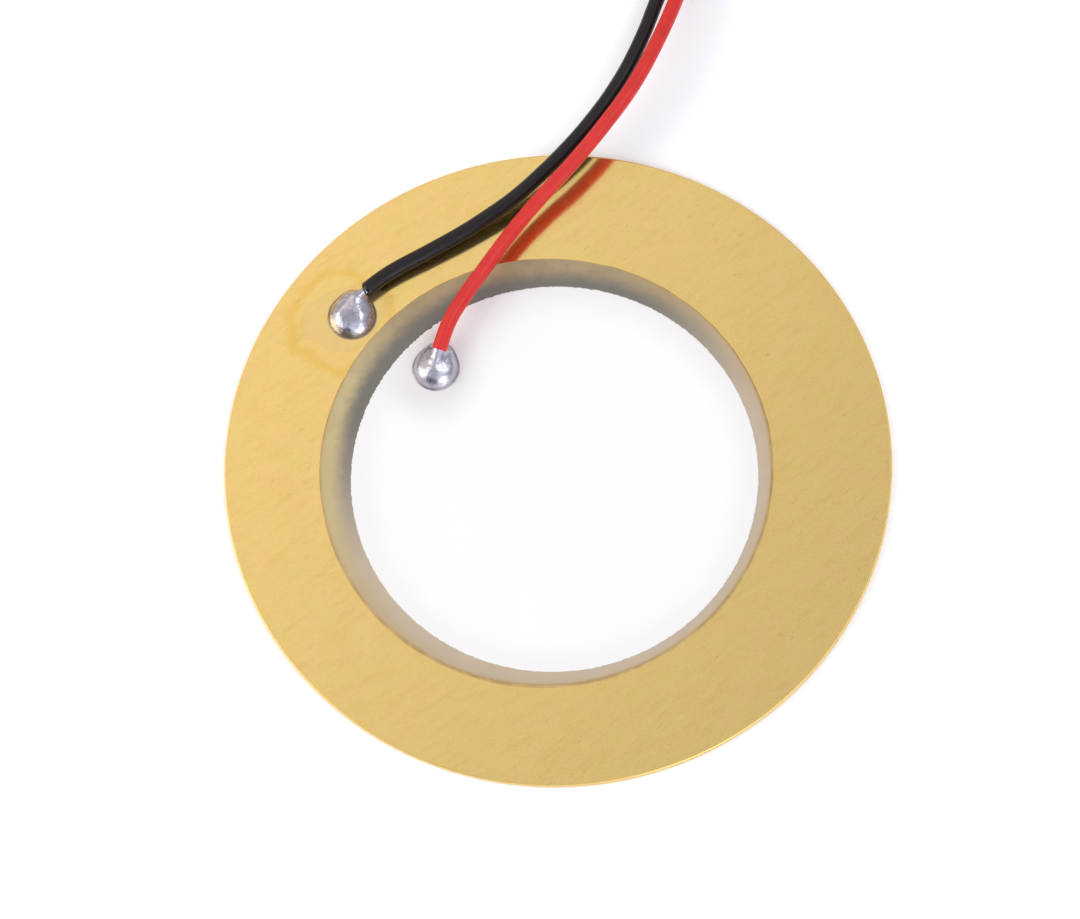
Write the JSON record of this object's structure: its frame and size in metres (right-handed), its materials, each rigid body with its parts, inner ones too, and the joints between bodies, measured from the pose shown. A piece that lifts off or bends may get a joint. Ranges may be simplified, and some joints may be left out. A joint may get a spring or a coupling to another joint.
{
  "type": "piezo disc",
  "caption": "Round brass plate with a bonded silvered piezo ceramic disc and two soldered wire leads, which turns voltage into sound or bending into voltage.",
  "frame": {"origin": "middle of the brass plate's underside, on the surface that the plate lies on", "axes": "+Z out of the plate towards its ceramic side; +Y from the middle towards the edge that the leads cross; +X to the right of that"},
  "size_m": [0.035, 0.0587, 0.0031],
  "materials": {
    "brass": "rolled and polished, with fine scratches",
    "adhesive": "cured epoxy",
    "silver": "fired silver, matt white",
    "ceramic": "bare fired ceramic, smooth",
    "solder": "bright solder",
    "tinned_wire": "tinned strands",
    "black_insulation": "satin",
    "red_insulation": "satin",
    "tie_paper": "matt"
  },
  "bodies": {
    "root": {"brass_plate": "brass", "bond_layer": "adhesive", "bottom_electrode": "silver", "ceramic_disc": "ceramic", "top_electrode": "silver", "plate_solder": "solder", "electrode_solder": "solder", "black_conductor": "tinned_wire", "red_conductor": "tinned_wire", "black_lead": "black_insulation", "red_lead": "red_insulation", "black_coil": "black_insulation", "red_coil": "red_insulation", "black_tinned_end": "tinned_wire", "red_tinned_end": "tinned_wire", "coil_tie": "tie_paper"}
  },
  "joints": []
}
